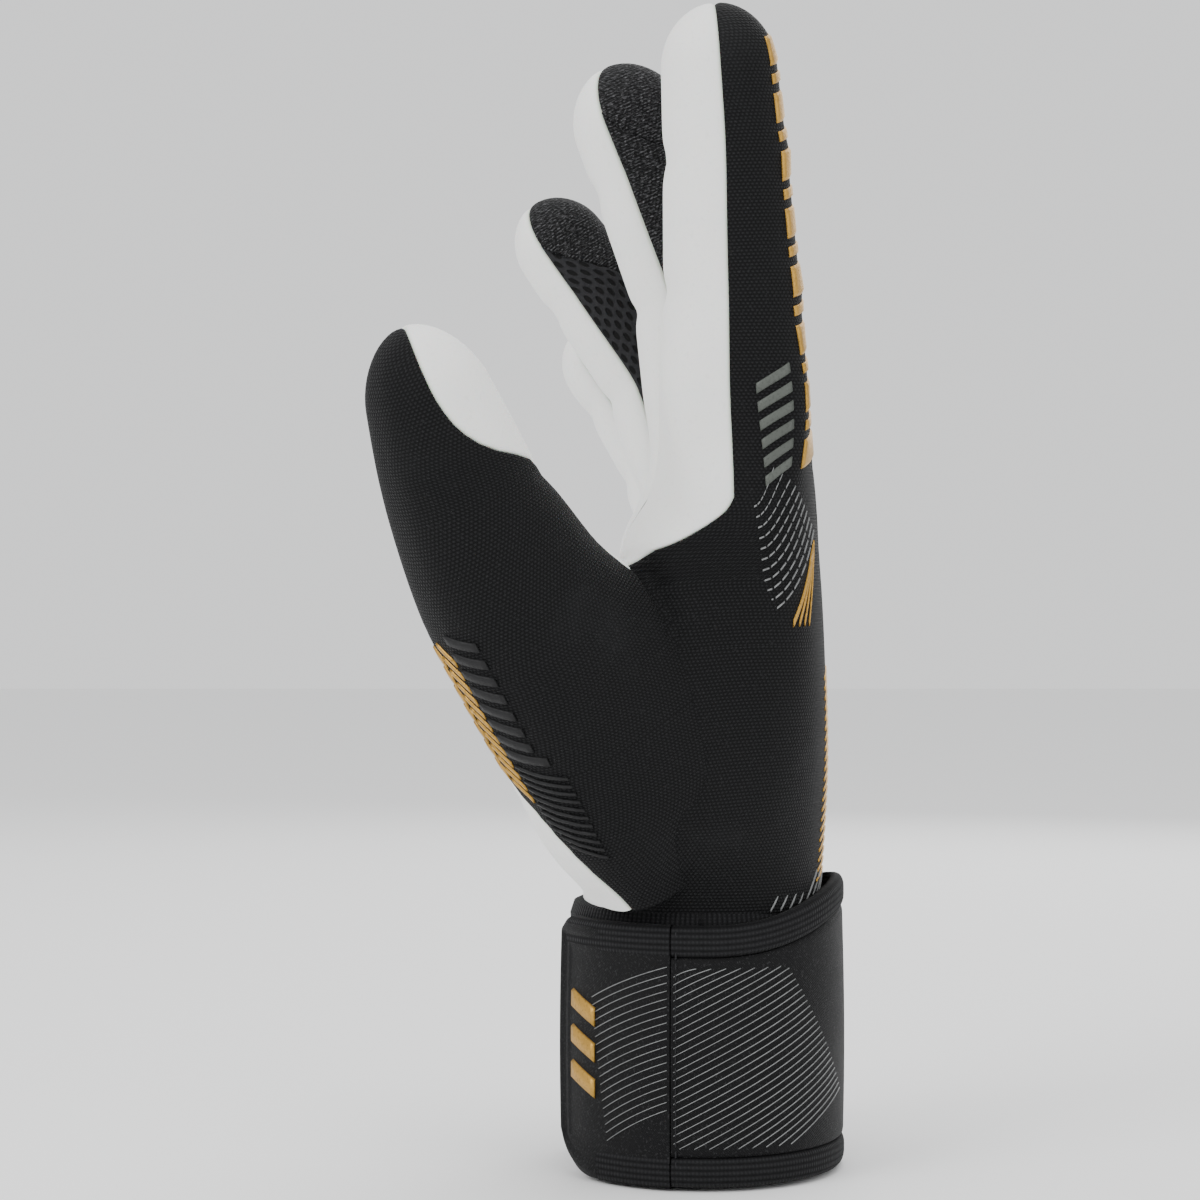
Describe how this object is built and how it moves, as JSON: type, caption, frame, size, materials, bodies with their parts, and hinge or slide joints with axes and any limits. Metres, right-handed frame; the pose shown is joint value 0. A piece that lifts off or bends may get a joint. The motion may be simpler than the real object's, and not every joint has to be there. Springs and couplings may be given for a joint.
{
  "type": "goalkeeper glove",
  "caption": "Padded glove for a right hand with a white latex foam palm, dark knitted back, wrapped fingertips, raised metallic bars and a wide hook-and-loop wrist strap.",
  "frame": {"origin": "centre of the cuff's mouth, in the plane of its lower edge", "axes": "+Z along the hand towards the fingertips, +Y out of the back of the hand, +X towards the thumb"},
  "size_m": [0.1425, 0.1059, 0.2617],
  "materials": {
    "latex": "matt foam",
    "knit": "ribbed knit",
    "mesh": "open air mesh",
    "strap": "smooth with fine printed lines",
    "hem": "ribbed binding",
    "rib_knit": "elastic rib",
    "lining": "brushed",
    "loop": "napped loop",
    "hook": "moulded hook",
    "print": "metallic film"
  },
  "bodies": {
    "cuff": {"cuff_hem": "hem", "cuff_lining": "lining", "wrist_bandage": "rib_knit", "loop_patch": "loop", "strap_band": "strap", "strap_top_binding": "hem", "strap_bottom_binding": "hem"},
    "strap_tail": {"strap_tail": "strap", "strap_tail_binding": "hem", "hook_patch": "hook", "strap_badge": "print"},
    "hand": {"palm_latex": "latex", "backhand_panel": "knit", "palm_lining": "lining", "backhand_stripes": "print"},
    "index_root": {"index_root_latex": "latex", "index_root_back": "knit", "index_root_gussets": "mesh", "index_root_badge": "print"},
    "index_middle": {"index_middle_latex": "latex", "index_middle_back": "knit", "index_middle_gussets": "mesh", "index_middle_badge": "print"},
    "index_tip": {"index_tip_latex": "latex", "index_tip_back": "knit", "index_tip_badge": "print"},
    "middle_root": {"middle_root_latex": "latex", "middle_root_back": "knit", "middle_root_gussets": "mesh"},
    "middle_middle": {"middle_middle_latex": "latex", "middle_middle_back": "knit", "middle_middle_gussets": "mesh"},
    "middle_tip": {"middle_tip_latex": "latex", "middle_tip_back": "knit"},
    "ring_root": {"ring_root_latex": "latex", "ring_root_back": "knit", "ring_root_gussets": "mesh"},
    "ring_middle": {"ring_middle_latex": "latex", "ring_middle_back": "knit", "ring_middle_gussets": "mesh"},
    "ring_tip": {"ring_tip_latex": "latex", "ring_tip_back": "knit"},
    "little_root": {"little_root_latex": "latex", "little_root_back": "knit", "little_root_gussets": "mesh"},
    "little_middle": {"little_middle_latex": "latex", "little_middle_back": "knit", "little_middle_gussets": "mesh"},
    "little_tip": {"little_tip_latex": "latex", "little_tip_back": "knit"},
    "thumb_base": {"thumb_base_latex": "latex", "thumb_base_back": "knit", "thumb_badge": "print"},
    "thumb_middle": {"thumb_middle_latex": "latex", "thumb_middle_back": "knit"},
    "thumb_tip": {"thumb_tip_latex": "latex", "thumb_tip_back": "knit"}
  },
  "joints": [
    {"name": "wrist_bend", "type": "hinge", "parent": "cuff", "child": "hand", "pos_m": [0, 0.002, 0.062], "axis": [1, 0, 0], "range_deg": [-15, 15], "stiffness_Nm_per_rad": 2, "deforming": ["wrist_bandage"]},
    {"name": "strap_peel", "type": "hinge", "parent": "cuff", "child": "strap_tail", "pos_m": [0.04004, -0.00671, 0.029], "axis": [0, 0, 1], "range_deg": [0, 110]},
    {"name": "index_knuckle", "type": "hinge", "parent": "hand", "child": "index_root", "pos_m": [0.039, 0.008, 0.152], "axis": [0.9986, 0, -0.0523], "range_deg": [-9, 57], "stiffness_Nm_per_rad": 0.3},
    {"name": "index_middle_joint", "type": "hinge", "parent": "index_root", "child": "index_middle", "pos_m": [0.04141, 0.0072, 0.19793], "axis": [0.9986, 0, -0.0523], "range_deg": [-2, 64], "stiffness_Nm_per_rad": 0.3},
    {"name": "index_end_joint", "type": "hinge", "parent": "index_middle", "child": "index_tip", "pos_m": [0.04292, 0.00568, 0.22685], "axis": [0.9986, 0, -0.0523], "range_deg": [-7, 39], "stiffness_Nm_per_rad": 0.3},
    {"name": "middle_knuckle", "type": "hinge", "parent": "hand", "child": "middle_root", "pos_m": [0.013, 0.0085, 0.153], "axis": [1, 0, 0], "range_deg": [-17, 49], "stiffness_Nm_per_rad": 0.3},
    {"name": "middle_middle_joint", "type": "hinge", "parent": "middle_root", "child": "middle_middle", "pos_m": [0.013, 0.00115, 0.19942], "axis": [1, 0, 0], "range_deg": [-13, 53], "stiffness_Nm_per_rad": 0.3},
    {"name": "middle_end_joint", "type": "hinge", "parent": "middle_middle", "child": "middle_tip", "pos_m": [0.013, -0.01009, 0.22724], "axis": [1, 0, 0], "range_deg": [-8, 38], "stiffness_Nm_per_rad": 0.3},
    {"name": "ring_knuckle", "type": "hinge", "parent": "hand", "child": "ring_root", "pos_m": [-0.013, 0.0075, 0.144], "axis": [0.9986, 0, 0.0523], "range_deg": [-31, 35], "stiffness_Nm_per_rad": 0.3},
    {"name": "ring_middle_joint", "type": "hinge", "parent": "ring_root", "child": "ring_middle", "pos_m": [-0.01502, -0.00891, 0.18261], "axis": [0.9986, 0, 0.0523], "range_deg": [-13, 53], "stiffness_Nm_per_rad": 0.3},
    {"name": "ring_end_joint", "type": "hinge", "parent": "ring_middle", "child": "ring_tip", "pos_m": [-0.01612, -0.02419, 0.20361], "axis": [0.9986, 0, 0.0523], "range_deg": [-6, 40], "stiffness_Nm_per_rad": 0.3},
    {"name": "little_knuckle", "type": "hinge", "parent": "hand", "child": "little_root", "pos_m": [-0.039, 0.005, 0.135], "axis": [0.9925, 0, 0.1219], "range_deg": [-28, 38], "stiffness_Nm_per_rad": 0.3},
    {"name": "little_middle_joint", "type": "hinge", "parent": "little_root", "child": "little_middle", "pos_m": [-0.04255, -0.0056, 0.16391], "axis": [0.9925, 0, 0.1219], "range_deg": [-13, 53], "stiffness_Nm_per_rad": 0.3},
    {"name": "little_end_joint", "type": "hinge", "parent": "little_middle", "child": "little_tip", "pos_m": [-0.04459, -0.01649, 0.18056], "axis": [0.9925, 0, 0.1219], "range_deg": [-9, 37], "stiffness_Nm_per_rad": 0.3},
    {"name": "thumb_root", "type": "hinge", "parent": "hand", "child": "thumb_base", "pos_m": [0.031, -0.015, 0.077], "axis": [0.7866, 0.597, -0.1574], "range_deg": [-7, 14], "stiffness_Nm_per_rad": 0.3},
    {"name": "thumb_knuckle", "type": "hinge", "parent": "thumb_base", "child": "thumb_middle", "pos_m": [0.05387, -0.03387, 0.11972], "axis": [0.8364, 0.5464, -0.0432], "range_deg": [-18, 15], "stiffness_Nm_per_rad": 0.3},
    {"name": "thumb_end_joint", "type": "hinge", "parent": "thumb_middle", "child": "thumb_tip", "pos_m": [0.06585, -0.04985, 0.14967], "axis": [0.823, 0.5627, -0.0778], "range_deg": [-20, 15], "stiffness_Nm_per_rad": 0.3}
  ],
  "couplings": [
    {"joint": "index_end_joint", "follows": "index_middle_joint", "ratio": 0.609},
    {"joint": "middle_end_joint", "follows": "middle_middle_joint", "ratio": 0.615},
    {"joint": "ring_end_joint", "follows": "ring_middle_joint", "ratio": 0.461},
    {"joint": "little_end_joint", "follows": "little_middle_joint", "ratio": 0.692},
    {"joint": "thumb_end_joint", "follows": "thumb_knuckle", "ratio": 1}
  ]
}
